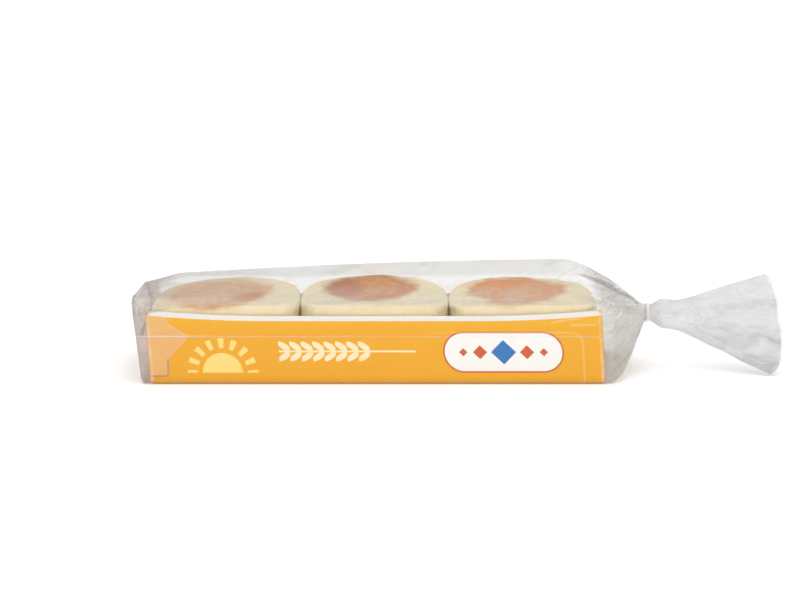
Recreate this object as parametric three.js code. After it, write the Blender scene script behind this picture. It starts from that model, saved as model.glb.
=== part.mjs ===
// A bag of english muffins: a clear film bag drawn over a shallow card tray that holds two layers of muffins.
// One end of the bag is heat-sealed flat, the other is gathered into a banded neck, and the film past the
// neck fans out as a loose tail. The bag is one solid out to the film, with its contents inside it.
// Millimetres, +Z up. The origin is the middle of the flat base, and +X runs from the sealed end to the tail.
import * as THREE from "three";
import { mergeVertices } from "three/addons/utils/BufferGeometryUtils.js";

// The contents that give the bag its size
const MUFFIN_DIAMETER = 89;
const MUFFIN_HEIGHT = 25.7;
const MUFFINS_IN_A_ROW = 3;
const MUFFIN_LAYERS = 2;
const END_CLEARANCE = 2.5; // between the row of muffins and each end wall of the tray
const SIDE_CLEARANCE = 1.5; // between the muffins and each long wall of the tray
const RIM_MIDDLE_HEIGHT = 41.9; // the tray's long walls dip in the middle
const RIM_END_RISE = 3.6;
const RIM_LEVEL_SHARE = 0.44; // share of the half length over which the rim stays level
const RACK = -0.068; // the tray and its stacks lean towards the sealed end, per millimetre of height

// The film over the contents
const FILM_STAND_OFF = 0.4;
const BASE_EDGE_RADIUS = 2.5;
const RIM_RADIUS = 1.5;
const FRONT_EDGE_RADIUS = 6;
const BACK_EDGE_RADIUS = 6;
const BACK_EDGE_DROP = 2;
const RIDGE_RADIUS = 9;
const RIDGE_Y = 30; // the film is highest towards the back
const RIDGE_LIFT_AT_SEAL = 0.4; // above the muffins, rising towards the neck
const RIDGE_LIFT_AT_NECK = 12.2;
const RIDGE_BOW = 2.3; // how far the ridge bows up above a straight line
const MUFFIN_GAP_DIP = 1; // the film's edges dip between neighbouring muffins
const MUFFIN_GAP_SHARPNESS = 6;

// The heat-sealed end
const SEAL_END_GAP = 5.5; // film beyond the tray's end wall, at the base
const SEAL_END_LEAN = -0.042; // the end leans out further than the tray does, per millimetre of height
const SEAL_END_DROP = 4.5; // the top comes down over the last stretch
const SEAL_CORNER_RISE = 2.5; // but its front corner stands up
const SEAL_END_STRETCH = 22;
const SEAL_Z = 28;
const SEAL_HALF_LENGTH = 40;
const SEAL_THICKNESS = 1;
const SEAL_FIN = 4;
const SEAL_TUCK = 5; // the end panel is drawn in to the seal by this

// The gathered neck and its band
const NECK_X = 164;
const NECK_Z = 33.8;
const NECK_RADIUS = 4.7;
const GATHER_FROM_TOP_X = 119; // the film leaves the muffins sooner than it leaves the tray's end
const GATHER_FROM_TRAY_X = 140;
const GATHER_CURVE_TOP = 1.25; // 1 is a straight cone, and more is fuller
const GATHER_CURVE_BASE = 1.35;
const PLEATS = 9;
const PLEAT_DEPTH = 0.12; // share of the radius
const BAND_WIDTH = 2.2;
const BAND_THICKNESS = 1.1;
const BAND_CLEARANCE = 0.35;

// The tail beyond the neck
const TAIL_CORNER_X = 240.3;
const TAIL_CORNER_RADIUS = 5;
const TAIL_BULGE = 4.5; // how far the mouth stands out past its corners
const TAIL_BULGE_AT = -0.37; // where it stands out most, from -1 at the lower corner to 1 at the upper one
const TAIL_HALF_WIDTH = 32.9;
const TAIL_HALF_THICKNESS = 3.4;
const TAIL_TILT = THREE.MathUtils.degToRad(33.5); // the fan's upper corner leans back by this from upright
const TAIL_CENTRE_Y = -8;
const TAIL_CENTRE_Z = 28.4;
const KNUCKLE_LENGTH = 18; // a short plump stretch of bunched film right after the band
const KNUCKLE_RISE = 0.4; // share of its length in which it swells up
const KNUCKLE_HALF_WIDTH = 9.3;
const KNUCKLE_HALF_THICKNESS = 7.5;
const TAIL_FLAT_FROM = 0.6; // share of the fan in which it thins down to that thickness
const TAIL_WAVES = 3;
const TAIL_WAVE_HEIGHT = 2.2;

// How finely the skin is divided
const CORNER_STEPS = 3;
const WIDE_SIDE_STEPS = 9;
const WALL_STEPS = 5;
const RIDGE_SIDE_STEPS = 2;
const SHORT_SIDE_STEPS = 1;
const LONGEST_ROUNDING = 0.45; // share of a side that a rounded corner may take
const BODY_RINGS = 34;
const SEAL_RINGS = 5;
const GATHER_RINGS = 11;
const KNUCKLE_RINGS = 6;
const TAIL_RINGS = 12;
const BAND_SEGMENTS = 48;
const BAND_SECTION_STEPS = 4;

// Sizes that follow from the contents
const STACK_TOP = MUFFIN_HEIGHT * MUFFIN_LAYERS;
const HALF_LENGTH = (MUFFIN_DIAMETER * MUFFINS_IN_A_ROW) / 2 + END_CLEARANCE;
const HALF_DEPTH = MUFFIN_DIAMETER / 2 + SIDE_CLEARANCE + FILM_STAND_OFF;
const SEAL_END_X = -(HALF_LENGTH + SEAL_END_GAP);
const NECK_HALF_LENGTH = BAND_WIDTH / 2 + BAND_CLEARANCE;
const RIM_END_HEIGHT = RIM_MIDDLE_HEIGHT + RIM_END_RISE;

const { lerp, smoothstep, clamp } = THREE.MathUtils;

// Where the rounding of one corner meets its side towards another, short of the side's middle.
function roundingEnd(corner, other) {
  const side = other.at.clone().sub(corner.at);
  return side.clone().setLength(Math.min(corner.radius, LONGEST_ROUNDING * side.length())).add(corner.at);
}

// A closed loop through corners of (y, z), each rounded by a curve that leaves its sides `radius` away.
function roundedLoop(corners) {
  const loop = [];
  corners.forEach((corner, k) => {
    const before = corners.at(k - 1);
    const after = corners[(k + 1) % corners.length];
    const enter = roundingEnd(corner, before);
    const leave = roundingEnd(corner, after);
    const meetNext = roundingEnd(after, corner);
    loop.push(...new THREE.QuadraticBezierCurve(enter, corner.at, leave).getPoints(CORNER_STEPS));
    loop.push(...new THREE.LineCurve(leave, meetNext).getPoints(corner.steps).slice(1, -1));
  });
  return loop;
}

// The tray's rim, level in the middle and rising towards both ends.
function rimHeight(x) {
  const level = RIM_LEVEL_SHARE * HALF_LENGTH;
  const share = clamp((Math.abs(x) - level) / (HALF_LENGTH - level), 0, 1);
  return RIM_MIDDLE_HEIGHT + RIM_END_RISE * share ** 2;
}

// The film's highest line, which climbs from the sealed end to the neck.
function ridgeHeight(x) {
  const share = clamp((x + HALF_LENGTH) / (HALF_LENGTH + GATHER_FROM_TOP_X), 0, 1);
  const bow = RIDGE_BOW * Math.sin(Math.PI * share);
  return STACK_TOP + lerp(RIDGE_LIFT_AT_SEAL, RIDGE_LIFT_AT_NECK, share) + bow;
}

// 0 along the pack and 1 at the sealed end, over the last stretch.
function towardsSeal(x) {
  return smoothstep(SEAL_END_X + SEAL_END_STRETCH - x, 0, SEAL_END_STRETCH);
}

// 0 on the middle of a muffin and 1 between two of them.
function betweenMuffins(x) {
  const inRow = Math.abs(x) < HALF_LENGTH - MUFFIN_DIAMETER / 2;
  return inRow ? Math.sin((Math.PI * x) / MUFFIN_DIAMETER) ** MUFFIN_GAP_SHARPNESS : 0;
}

// The film's cross-section round the tray and the muffins, as points of (y, z).
function bodySection(x) {
  const drop = SEAL_END_DROP * towardsSeal(x);
  const dip = MUFFIN_GAP_DIP * betweenMuffins(x);
  const rim = rimHeight(x) - drop;
  const frontEdge = STACK_TOP + SEAL_CORNER_RISE * towardsSeal(x) - dip;
  const backEdge = STACK_TOP - drop - BACK_EDGE_DROP;
  const corner = (y, z, radius, steps) => ({ at: new THREE.Vector2(y, z), radius, steps });
  return roundedLoop([
    corner(-HALF_DEPTH, 0, BASE_EDGE_RADIUS, WALL_STEPS),
    corner(-HALF_DEPTH, rim, RIM_RADIUS, SHORT_SIDE_STEPS),
    corner(-HALF_DEPTH + SIDE_CLEARANCE + dip, frontEdge, FRONT_EDGE_RADIUS, WIDE_SIDE_STEPS),
    corner(RIDGE_Y, ridgeHeight(x) - drop, RIDGE_RADIUS, RIDGE_SIDE_STEPS),
    corner(HALF_DEPTH - SIDE_CLEARANCE - dip, backEdge, BACK_EDGE_RADIUS, SHORT_SIDE_STEPS),
    corner(HALF_DEPTH, rim, RIM_RADIUS, WALL_STEPS),
    corner(HALF_DEPTH, 0, BASE_EDGE_RADIUS, WIDE_SIDE_STEPS),
  ]);
}

// Rings of the sealed end: the end panel closes in on the seal, then the seal stands out as a thin fin.
function sealRings() {
  const panel = bodySection(SEAL_END_X);
  const ring = (open, out) =>
    panel.map(({ x: y, y: z }) => {
      const angle = Math.atan2(z - SEAL_Z, y);
      const across = lerp(SEAL_HALF_LENGTH * Math.cos(angle), y, open);
      const height = lerp(SEAL_Z + (SEAL_THICKNESS / 2) * Math.sin(angle), z, open);
      const tuck = SEAL_TUCK * (1 - open);
      return new THREE.Vector3(SEAL_END_X + tuck - out + (RACK + SEAL_END_LEAN) * height, across, height);
    });
  const rings = [ring(0, SEAL_FIN)];
  for (let k = 0; k < SEAL_RINGS; k++) rings.push(ring(Math.sqrt(k / SEAL_RINGS), 0));
  return rings;
}

// Rings along the tray, leaning with it and leaning out further near the sealed end.
function bodyRings() {
  const rings = [];
  for (let k = 0; k <= BODY_RINGS; k++) {
    const x = lerp(SEAL_END_X, GATHER_FROM_TOP_X, k / BODY_RINGS);
    const extraLean = SEAL_END_LEAN * towardsSeal(x);
    rings.push(bodySection(x).map(({ x: y, y: z }) => new THREE.Vector3(x + (RACK + extraLean) * z, y, z)));
  }
  return rings;
}

// The share of the way from the contents to the neck, for film that is at height z on the contents.
function gathered(x, z) {
  const high = clamp((z - RIM_END_HEIGHT) / (STACK_TOP - RIM_END_HEIGHT), 0, 1);
  const from = lerp(GATHER_FROM_TRAY_X, GATHER_FROM_TOP_X, high);
  const share = clamp((x - from) / (NECK_X - NECK_HALF_LENGTH - from), 0, 1);
  return share ** lerp(GATHER_CURVE_BASE, GATHER_CURVE_TOP, high);
}

// Rings from the contents in to the neck, pleated more and more as the film bunches up.
function gatherRings() {
  const rings = [];
  const end = NECK_X - NECK_HALF_LENGTH;
  for (let k = 1; k <= GATHER_RINGS; k++) {
    const x = lerp(GATHER_FROM_TOP_X, end, k / GATHER_RINGS);
    const section = bodySection(x);
    rings.push(
      section.map(({ x: y, y: z }) => {
        const share = gathered(x, z);
        const angle = Math.atan2(z - NECK_Z, y);
        const reach = lerp(Math.hypot(y, z - NECK_Z), NECK_RADIUS, share);
        const pleat = 1 + PLEAT_DEPTH * Math.sin(Math.PI * share) * Math.sin(PLEATS * angle);
        const height = Math.max(0, NECK_Z + reach * pleat * Math.sin(angle));
        return new THREE.Vector3(x + RACK * z * (1 - share), reach * pleat * Math.cos(angle), height);
      }),
    );
  }
  return rings;
}

// 1 where the mouth stands out most, and 0 at its two corners.
function mouthBulge(a) {
  const corner = a > TAIL_BULGE_AT ? 1 : -1;
  return 1 - ((a - TAIL_BULGE_AT) / (corner - TAIL_BULGE_AT)) ** 2;
}

// How far the mouth falls back from its corners, which are rounded.
function cornerRounding(a) {
  const past = Math.max(0, (Math.abs(a) - 1) * TAIL_HALF_WIDTH + TAIL_CORNER_RADIUS);
  return TAIL_CORNER_RADIUS - Math.sqrt(TAIL_CORNER_RADIUS ** 2 - past ** 2);
}

// Rings of the tail: out of the round neck, over the plump knuckle, and flattening into a wavy fan.
function tailRings() {
  const angles = bodySection(GATHER_FROM_TOP_X).map(({ x: y, y: z }) => Math.atan2(z - NECK_Z, y));
  const across = new THREE.Vector2(Math.sin(TAIL_TILT), Math.cos(TAIL_TILT));
  const through = new THREE.Vector2(Math.cos(TAIL_TILT), -Math.sin(TAIL_TILT));
  const start = NECK_X + NECK_HALF_LENGTH;
  const length = TAIL_CORNER_X - start;
  const knuckle = KNUCKLE_LENGTH / length;
  const ring = (share) => {
    const swell = smoothstep(share, 0, KNUCKLE_RISE * knuckle);
    const fan = Math.max(0, (share - knuckle) / (1 - knuckle));
    const halfWidth = lerp(lerp(NECK_RADIUS, KNUCKLE_HALF_WIDTH, swell), TAIL_HALF_WIDTH, fan);
    const plump = lerp(NECK_RADIUS, KNUCKLE_HALF_THICKNESS, swell);
    const halfThickness = lerp(plump, TAIL_HALF_THICKNESS, smoothstep(fan, 0, TAIL_FLAT_FROM));
    const centre = new THREE.Vector2(lerp(0, TAIL_CENTRE_Y, share), lerp(NECK_Z, TAIL_CENTRE_Z, share));
    return angles.map((angle) => {
      const direction = new THREE.Vector2(Math.cos(angle), Math.sin(angle));
      const a = direction.dot(across);
      const b = direction.dot(through);
      const wave = TAIL_WAVE_HEIGHT * fan * Math.sin(TAIL_WAVES * Math.PI * a);
      const at = centre
        .clone()
        .addScaledVector(across, halfWidth * a)
        .addScaledVector(through, halfThickness * b + wave);
      const reach = length + TAIL_BULGE * mouthBulge(a) - cornerRounding(a);
      return new THREE.Vector3(start + reach * share, at.x, at.y);
    });
  };
  const rings = [ring(0)];
  for (let k = 1; k <= KNUCKLE_RINGS; k++) rings.push(ring((knuckle * k) / KNUCKLE_RINGS));
  for (let k = 1; k <= TAIL_RINGS; k++) rings.push(ring(lerp(knuckle, 1, k / TAIL_RINGS)));
  return rings;
}

// A closed skin over a row of rings that all have the same number of points, with a fan over each end.
function loft(rings) {
  const count = rings[0].length;
  const points = rings.flat();
  const middle = (ring) => ring.reduce((sum, p) => sum.add(p), new THREE.Vector3()).divideScalar(count);
  const first = points.push(middle(rings[0])) - 1;
  const last = points.push(middle(rings.at(-1))) - 1;
  const faces = [];
  for (let i = 0; i < count; i++) {
    const next = (i + 1) % count;
    for (let row = 0; row < (rings.length - 1) * count; row += count) {
      faces.push(row + i, row + count + next, row + next, row + i, row + count + i, row + count + next);
    }
    const lastRow = (rings.length - 1) * count;
    faces.push(first, i, next, last, lastRow + next, lastRow + i);
  }
  const geometry = new THREE.BufferGeometry().setFromPoints(points).setIndex(faces);
  return mergeVertices(geometry);
}

// The whole bag, from the seal's fin to the mouth of the tail.
function bagGeometry() {
  return loft([...sealRings(), ...bodyRings(), ...gatherRings(), ...tailRings()]);
}

// A thin band round the neck, with softly rounded edges.
function bandGeometry() {
  const inner = NECK_RADIUS + BAND_CLEARANCE;
  const section = new THREE.Shape().ellipse(
    inner + BAND_THICKNESS / 2, 0, BAND_THICKNESS / 2, BAND_WIDTH / 2, 0, 2 * Math.PI,
  );
  return new THREE.LatheGeometry(section.getPoints(BAND_SECTION_STEPS), BAND_SEGMENTS);
}

const bag = new THREE.Mesh(
  bagGeometry(),
  new THREE.MeshStandardMaterial({ color: 0xdedfdc, roughness: 0.22, transparent: true, opacity: 0.4 }),
);
bag.name = "bag";

const band = new THREE.Mesh(
  bandGeometry(),
  new THREE.MeshStandardMaterial({ color: 0xf0f2ec, roughness: 0.45 }),
);
band.name = "neck_band";
band.position.set(NECK_X, 0, NECK_Z);
band.rotation.z = -Math.PI / 2;

const baggedMuffins = new THREE.Group();
baggedMuffins.add(bag, band);

export default baggedMuffins;
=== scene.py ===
"""A bag of english muffins: a clear film bag over a shallow printed card tray with two layers of muffins.

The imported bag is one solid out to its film. This script replaces it with the film, the tray and the
muffins, and replaces the band round the neck with a rounded one.
"""
import math

import bpy
import numpy as np
from mathutils import Matrix, Vector, noise


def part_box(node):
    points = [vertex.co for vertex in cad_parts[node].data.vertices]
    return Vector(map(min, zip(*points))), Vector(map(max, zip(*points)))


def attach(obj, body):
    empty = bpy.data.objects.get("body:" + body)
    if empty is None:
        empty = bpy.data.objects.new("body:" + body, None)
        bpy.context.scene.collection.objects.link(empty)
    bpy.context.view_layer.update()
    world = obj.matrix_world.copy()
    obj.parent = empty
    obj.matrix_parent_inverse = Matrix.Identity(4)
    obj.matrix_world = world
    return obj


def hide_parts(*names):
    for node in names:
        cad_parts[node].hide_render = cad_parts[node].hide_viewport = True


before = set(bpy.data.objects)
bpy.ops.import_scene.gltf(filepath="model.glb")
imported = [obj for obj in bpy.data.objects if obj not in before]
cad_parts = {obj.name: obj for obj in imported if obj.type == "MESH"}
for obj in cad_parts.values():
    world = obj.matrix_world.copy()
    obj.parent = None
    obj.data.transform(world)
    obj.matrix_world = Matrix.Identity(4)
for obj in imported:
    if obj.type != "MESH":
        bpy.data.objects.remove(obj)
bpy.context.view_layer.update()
BAG_LOW, BAG_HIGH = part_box("bag")
BAND_LOW, BAND_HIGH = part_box("neck_band")

MM = 0.001
TOUCHING = 0.01 * MM  # points nearer than this are the same point
NEARLY = 0.1 * MM  # and this is near enough to tell faces and edges by

# The film. A pair of limits says where a change begins and where it is complete.
FILM_STAND_OFF = 0.4 * MM
FILM_CREASE_Z = 29.2 * MM  # the gusset's fold line along both long sides
GUSSET_TIP_X = -113 * MM  # where the folded corner of the sealed end comes to a point
GUSSET_SLOPE_UP = 0.62  # how steeply the folded corner opens above and below the crease
GUSSET_SLOPE_DOWN = 1.15
GUSSET_EDGE_X = -125.3 * MM  # from here to the end the film on the front is doubled
GUSSET_FOOT_Z = 5 * MM
NECK = (BAND_LOW + BAND_HIGH) / 2
NECK_KEPT = 5 * MM  # the film keeps its shape this near the band
OFF_FLOOR_Z = (0.5 * MM, 8 * MM)  # and where it rests
GATHER_FROM_X = 112 * MM
PLEATED_X = (GATHER_FROM_X, GATHER_FROM_X + 30 * MM)
PLEAT_FREQUENCY = 4.6
PLEAT_HEIGHT = 1.0 * MM
PLEAT_SLOPE = 0.06  # a pleat is no higher than this share of its distance from the neck
FINE_PLEATS = 1.9  # how many times finer the sharp ridges are than the broad pleats
GATHER_DRAW = 1.7  # which part of the noise each side of the neck takes
TAIL_DRAW = 4.0
TAIL_PLEAT_SHARE = 0.25
SOFTENED_X = (GATHER_FROM_X + 16 * MM, GATHER_FROM_X + 28 * MM)
SOFTENED_TIMES = 30
CRUMPLED_X = (GATHER_FROM_X + 14 * MM, GATHER_FROM_X + 34 * MM)
CRUMPLE_GRAIN = np.array((26, 11, 11)) * MM  # dents are longer along the pack than across it
CRUMPLE_HEIGHT = 0.8 * MM
DRAG_TURN = math.radians(50)  # the drag folds on the top run this way across the pack
DRAG_LENGTH = 70 * MM
DRAG_PITCH = 9 * MM
DRAG_HEIGHT = 0.7 * MM
DRAG_Z = (48 * MM, 53 * MM)
DRAG_UP_TO_X = (GATHER_FROM_X + 15 * MM, GATHER_FROM_X - 10 * MM)
DRAG_UP_TO_Y = (26 * MM, 12 * MM)
TURN_SLOPE = (0.3, 0.6)  # how far up the film faces where its top turns down, from the sides
TURN_SLOPE_TOP = (0.97, 0.85)  # and from the top
TURN_Z = (44 * MM, 46 * MM)
TURN_UP_TO_X = (GATHER_FROM_X + 10 * MM, GATHER_FROM_X - 10 * MM)
END_PLEATS_X = (-122 * MM, -140 * MM)
END_PLEATS_Y = (45 * MM, 41 * MM)
END_PLEAT_PITCH = 8 * MM
END_PLEAT_HEIGHT = 0.5 * MM
END_CREASE = (Vector((-144, 8)) * MM, Vector((-112, 25)) * MM)  # from the sealed end's middle to the ridge
END_CREASE_WIDTH = 2.6 * MM
END_CREASE_HEIGHT = 1.1 * MM
END_CREASE_Z = (40 * MM, 46 * MM)

# The film's marks, with limits in millimetres
TOP_Z = (42.0, 48.0)
GATHERED_X = (131.0, 141.0)  # where the gathered end begins, on the sides and on the top
GATHERED_TOP_X = (123.0, 133.0)
SEALED_X = (-136.0, -141.0)  # the same for the sealed end
SEALED_TOP_X = (-112.0, -132.0)
TAIL_FROM_NECK = 8.0
SIDE_Y = (42.0, 45.0)
SIDE_UP_TO_Z = (43.5, 41.5)
CREASE_UP_TO_X = (138.0, 128.0)
CREASE_FAINT_X = (-105.0, -85.0)
CREASE_LINE = (0.2, 0.7)  # half widths: sharp, and faded out
CORNER_LINE = (0.2, 0.8)
# painted shadow lines along the doubled corner's upright edge and along its foot
EDGE_FOLD_SHADOW_LINE = (0.2, 0.9)
EDGE_FOLD_SHADOW_UP_TO_Z = (18.0, 12.0)
FOOT_FOLD_SHADOW_X = (-138.0, -134.0)
VEIL_Z = (46.0, 49.5)
VEIL_FRONT_Y = (-8.0, -38.0)  # the veil thickens towards the front
VEIL_LEFT_X = (-50.0, -80.0)  # and towards the sealed end
STREAK_PITCH = 1.6 * DRAG_PITCH
STREAK_HEIGHT = 30 * MM
# the creases' painted highlights grow from weak to strong between these heights
CREASE_HIGHLIGHT_Z = (22.0, 42.0)
# painted shade: the tail's film is darkened towards its bottom between these heights
TAIL_SHADE_Z = (32.0, 12.0)
CRINKLED_UP_TO_X = (160.0, 150.0)
SEAL_FIN = (3.4, 2.6)  # from the bag's end
SEAL_RIB_PITCH = 1.1
FILM_RELIEF = {"folds": 0.7, "wrinkles": 3.0, "crinkles": 1.0, "lines": 0.12, "ribs": 0.25}
FILM_RIPPLE = 0.5
FILM_BUMP = 1.2 * MM
FILM_DULLED = {
    "loose": 0.24, "ridges": 0.06, "lines": 0.42, "corner": 0.15, "turned": 0.1, "fin": 0.2, "whitening_and_glints": 0.28}
FILM_DULLED_EVERYWHERE = 0.008
FILM_GLOSS_ROUGHNESS = 0.24

# The card tray
CARD = 0.5 * MM
TRAY_HALF_LENGTH = 136 * MM
TRAY_HALF_DEPTH = BAG_HIGH.y - FILM_STAND_OFF
TRAY_BASE = FILM_STAND_OFF
RIM_MIDDLE_HEIGHT = 41.5 * MM
RIM_END_RISE = 3.6 * MM
LOW_WALL_HEIGHT = 36 * MM  # of the ends and the back, which don't show above the muffins
LOW_WALL_FROM = 5 * MM  # the end walls drop from the front rim this far from it
RIM_LEVEL_SHARE = 0.44
RIM_COLUMNS = 44
TRAY_FOLD_RADIUS = 1.3 * MM
TRAY_FOLD_STEPS = 3
RACK = -0.068  # the tray and its stacks lean towards the sealed end, per metre of height

# The print on the long walls, in millimetres along the wall from its middle and up from the floor
SUN = {"x": -92.0, "z": 7.0, "radius": 12.0}
SUN_RAYS = 16
WHEAT_EAR = {"start": -58.0, "end": 24.0, "z": 20.0, "pitch": 6.8, "grain_length": 9.0, "grain_width": 3.6,
             "lean": math.radians(34)}
EAR_GRAINS_SHARE = 0.68  # of the stem's length
EAR_STEM_HALF_WIDTH = 0.55
PILL_X = 76.0
PILL_Z = 19.5
PILL_HALF_SIZES = (36.0, 12.6)
PILL_INNER_HALF_SIZES = (35.0, 11.6)
DIAMOND_HALF_SIZE = 7.5
SMALL_DIAMONDS_AWAY = (14.0, 24.0)
SMALL_DIAMOND_SHRINK = 60.0  # a small diamond's half size times its distance from the middle
WHITE_RIM = (2.9, 3.2)
PALE_UP_Z = (30.0, 42.0)
DARK_FOOT_Z = (5.0, 0.5)
TUCKED_FLAP = {"x": 60.0, "z": 4.0, "half_width": 63.5, "half_height": 27.5, "radius": 7.0}
FLAP_SHOWS_X = (25.0, 60.0)
FLAP_LINE = (0.2, 0.9)
RUBBED_AND_HIGHLIT_INSIDE_FOLD = (-3.0, -1.6)  # the card is drawn paler this near the tray's upright folds, on their two sides, partly rubbed and partly a painted highlight
RUBBED_AND_HIGHLIT_OUTSIDE_FOLD = (1.0, 0.2)
CARD_DENTS = [((105.6, 37.5), (124.0, 40.6)), ((117.0, 35.8), (132.0, 36.4))]  # short creases in the card

# The muffins
MUFFIN_PITCH = 89 * MM
MUFFIN_RADIUS = 45 * MM
MUFFIN_CONTACT = MUFFIN_PITCH / 2 + 0.1 * MM  # neighbours are pressed flat against each other about here
MUFFIN_SIDE_ROOM = 44.2 * MM  # and against the film here
PRESSED_DEPTH = 1.4 * MM
ROUND_AT_BACK = 1.95  # the plan's power: 2 is a circle, and more is squarer
ROUND_AT_FRONT = 6.5
SQUARED_Y = (-0.1 * MUFFIN_RADIUS, 0.6 * MUFFIN_RADIUS)
NARROWED_AT_BACK = 0.06
NARROWED_Y = (-0.6 * MUFFIN_RADIUS, 0.3 * MUFFIN_RADIUS)
MUFFIN_LAYERS = 2
MUFFIN_BASE = TRAY_BASE + CARD
MUFFIN_EDGE_RADIUS = 2.4 * MM
MUFFIN_EDGE_STEPS = 6
MUFFIN_SIDES = 64
MUFFIN_SIDE_CUTS = 2
MUFFIN_TOP_RINGS = 6
MUFFIN_LUMPS = ((28 * MM, 1.5 * MM), (7 * MM, 0.7 * MM), (2.4 * MM, 0.35 * MM))  # grain and height
STACK_TURN = 0.7  # each muffin is turned a little further, so that no two look alike
LAYER_TURN = 1.9
FLAT_TOP_DEPTHS = (2.8, 1.2)  # in millimetres below the top

# The band round the neck
BAND_THICKNESS = 1.1 * MM
BAND_SIDES = (96, 20)
BAND_LUMPS = (4 * MM, 0.25 * MM)

# The camera stands where the photograph's did
CAMERA_AIM = Vector((13, 0, 41.5)) * MM
CAMERA_DISTANCE = 1.6
CAMERA_ELEVATION = math.radians(12.04)
CAMERA_LENS = 117.84  # this and the sensor's width are in millimetres
CAMERA_SENSOR = 36

# The studio
FLOOR_SIZE = 14
FLOOR_DROP = 0.2 * MM
LAMPS = [  # name, place, width, height, watts
    ("key", (-1.0, -2.2, 0.7), 1.2, 0.8, 8.5),
    ("fill", (1.4, -1.9, 0.7), 0.6, 0.9, 7.5),
    ("ceiling", (0.1, -1.3, 1.35), 1.6, 0.8, 3),
]


def shade(red, green, blue):
    """A colour as the eye sees it, 0 to 255, in the linear values that shaders take."""
    def linear(value):
        value /= 255
        return value / 12.92 if value <= 0.04045 else ((value + 0.055) / 1.055) ** 2.4
    return (linear(red), linear(green), linear(blue), 1.0)


# Colours
WHITE = (1.0, 1.0, 1.0, 1.0)
FILM_CLEAR = (0.922, 0.922, 0.915, 1.0)  # how much of the light one layer lets through
FILM_GATHERED = (0.85, 0.845, 0.835, 1.0)  # the same where it lies in folds
FILM_TAIL = (0.90, 0.905, 0.915, 1.0)
# painted shade that the tail takes on towards its bottom
FILM_TAIL_SHADE = (0.76, 0.77, 0.765, 1.0)
FILM_SEALED = (0.72, 0.635, 0.585, 1.0)
FILM_SEALED_TOP = (0.90, 0.87, 0.83, 1.0)
FILM_STREAK = (0.80, 0.79, 0.77, 1.0)  # in the drag folds' shade
# painted shadow in the narrow folds at the sealed end
FILM_SHADOW = (0.50, 0.44, 0.38, 1.0)  # in the narrow dark folds
FILM_MILKY = (0.80, 0.81, 0.81, 1.0)  # how it looks where it is dulled, at its creases
FILM_FOLDS = (0.46, 0.455, 0.445, 1.0)  # in the gathered folds and the tail
# painted highlights: the crinkles' highlights and the tail's glints are drawn in this near white, with the
# whitening of the sharp creases
FILM_WHITENING_AND_GLINTS = (0.93, 0.93, 0.93, 1.0)  # at their sharp creases and glints
FILM_VEIL = (0.52, 0.51, 0.49, 1.0)  # over the top
FILM_HAZE = (0.52, 0.485, 0.46, 1.0)  # over the sealed end
ORANGE = shade(242, 174, 8)
ORANGE_PALE = shade(242, 181, 24)
ORANGE_DEEP = shade(238, 168, 6)
ORANGE_EDGE = shade(222, 150, 18)
# pale rubbed card, also used for the painted highlight on the tray's upright folds
ORANGE_RUBBED_AND_HIGHLIT = shade(252, 214, 166)
SUN_YELLOW = shade(255, 222, 128)
CREAM_INK = shade(255, 234, 192)
RUST_INK = shade(206, 92, 40)
WHITE_INK = shade(248, 246, 242)
BLUE_INK = shade(40, 118, 190)
RIM_WHITE = shade(236, 234, 229)
CARD_GREY = shade(244, 242, 238)
CARD_WARM = shade(244, 238, 228)
CRUMB = shade(246, 231, 196)
CRUMB_PALE = shade(250, 240, 214)
CRUMB_DEEP = shade(241, 220, 178)
TOP_RING = shade(248, 232, 194)
# painted shade in the muffins' pores
PORE_SHADE = shade(196, 156, 104)
MEAL = shade(252, 240, 206)
TOAST_RIM = shade(176, 104, 64)
BAND_DULL = (0.80, 0.81, 0.80, 1.0)
BAND_BRIGHT = (0.88, 0.89, 0.88, 1.0)
FLOOR_DULL = (0.97, 0.97, 0.97, 1.0)
FLOOR_BRIGHT = (0.985, 0.985, 0.985, 1.0)

# Each stack: how high it is and how it slopes, the middle and half sizes of its browned patch in
# millimetres, how ragged the patch's edge is and how dark its rim, its colours, and the place, half sizes
# and colour of its most scorched spot
STACKS = [
    {"top": 46.8, "slope": 0.04, "x": -6.0, "y": -5.0, "half_width": 34.0, "half_depth": 46.0,
     "ragged": 0.6, "rim": 0.05, "deep": shade(222, 166, 114), "light": shade(240, 198, 150),
     "scorch": (15.0, -20.0, 14.0, 20.0), "scorched": shade(214, 138, 66)},
    {"top": 48.4, "slope": 0.0, "x": -2.5, "y": 4.0, "half_width": 30.0, "half_depth": 42.0,
     "ragged": 0.55, "rim": 0.3, "deep": shade(204, 114, 36), "light": shade(230, 154, 62),
     "scorch": (-20.0, 4.0, 14.0, 32.0), "scorched": shade(194, 98, 34)},
    {"top": 47.5, "slope": 0.0, "x": -2.5, "y": 0.0, "half_width": 32.0, "half_depth": 43.0,
     "ragged": 0.8, "rim": 0.15, "deep": shade(214, 138, 74), "light": shade(236, 176, 110),
     "scorch": (-12.0, 22.0, 26.0, 18.0), "scorched": shade(232, 138, 48)},
]


# Modelling


def only(piece):
    """Selects one object alone and makes it the active one."""
    bpy.ops.object.select_all(action="DESELECT")
    piece.select_set(True)
    bpy.context.view_layer.objects.active = piece


def new_piece(name):
    """The primitive that was just added, under its name, with its place in its mesh."""
    piece = bpy.context.object
    piece.name = name
    piece.data.name = name
    bpy.ops.object.transform_apply(location=True, rotation=True, scale=True)
    return piece


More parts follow.
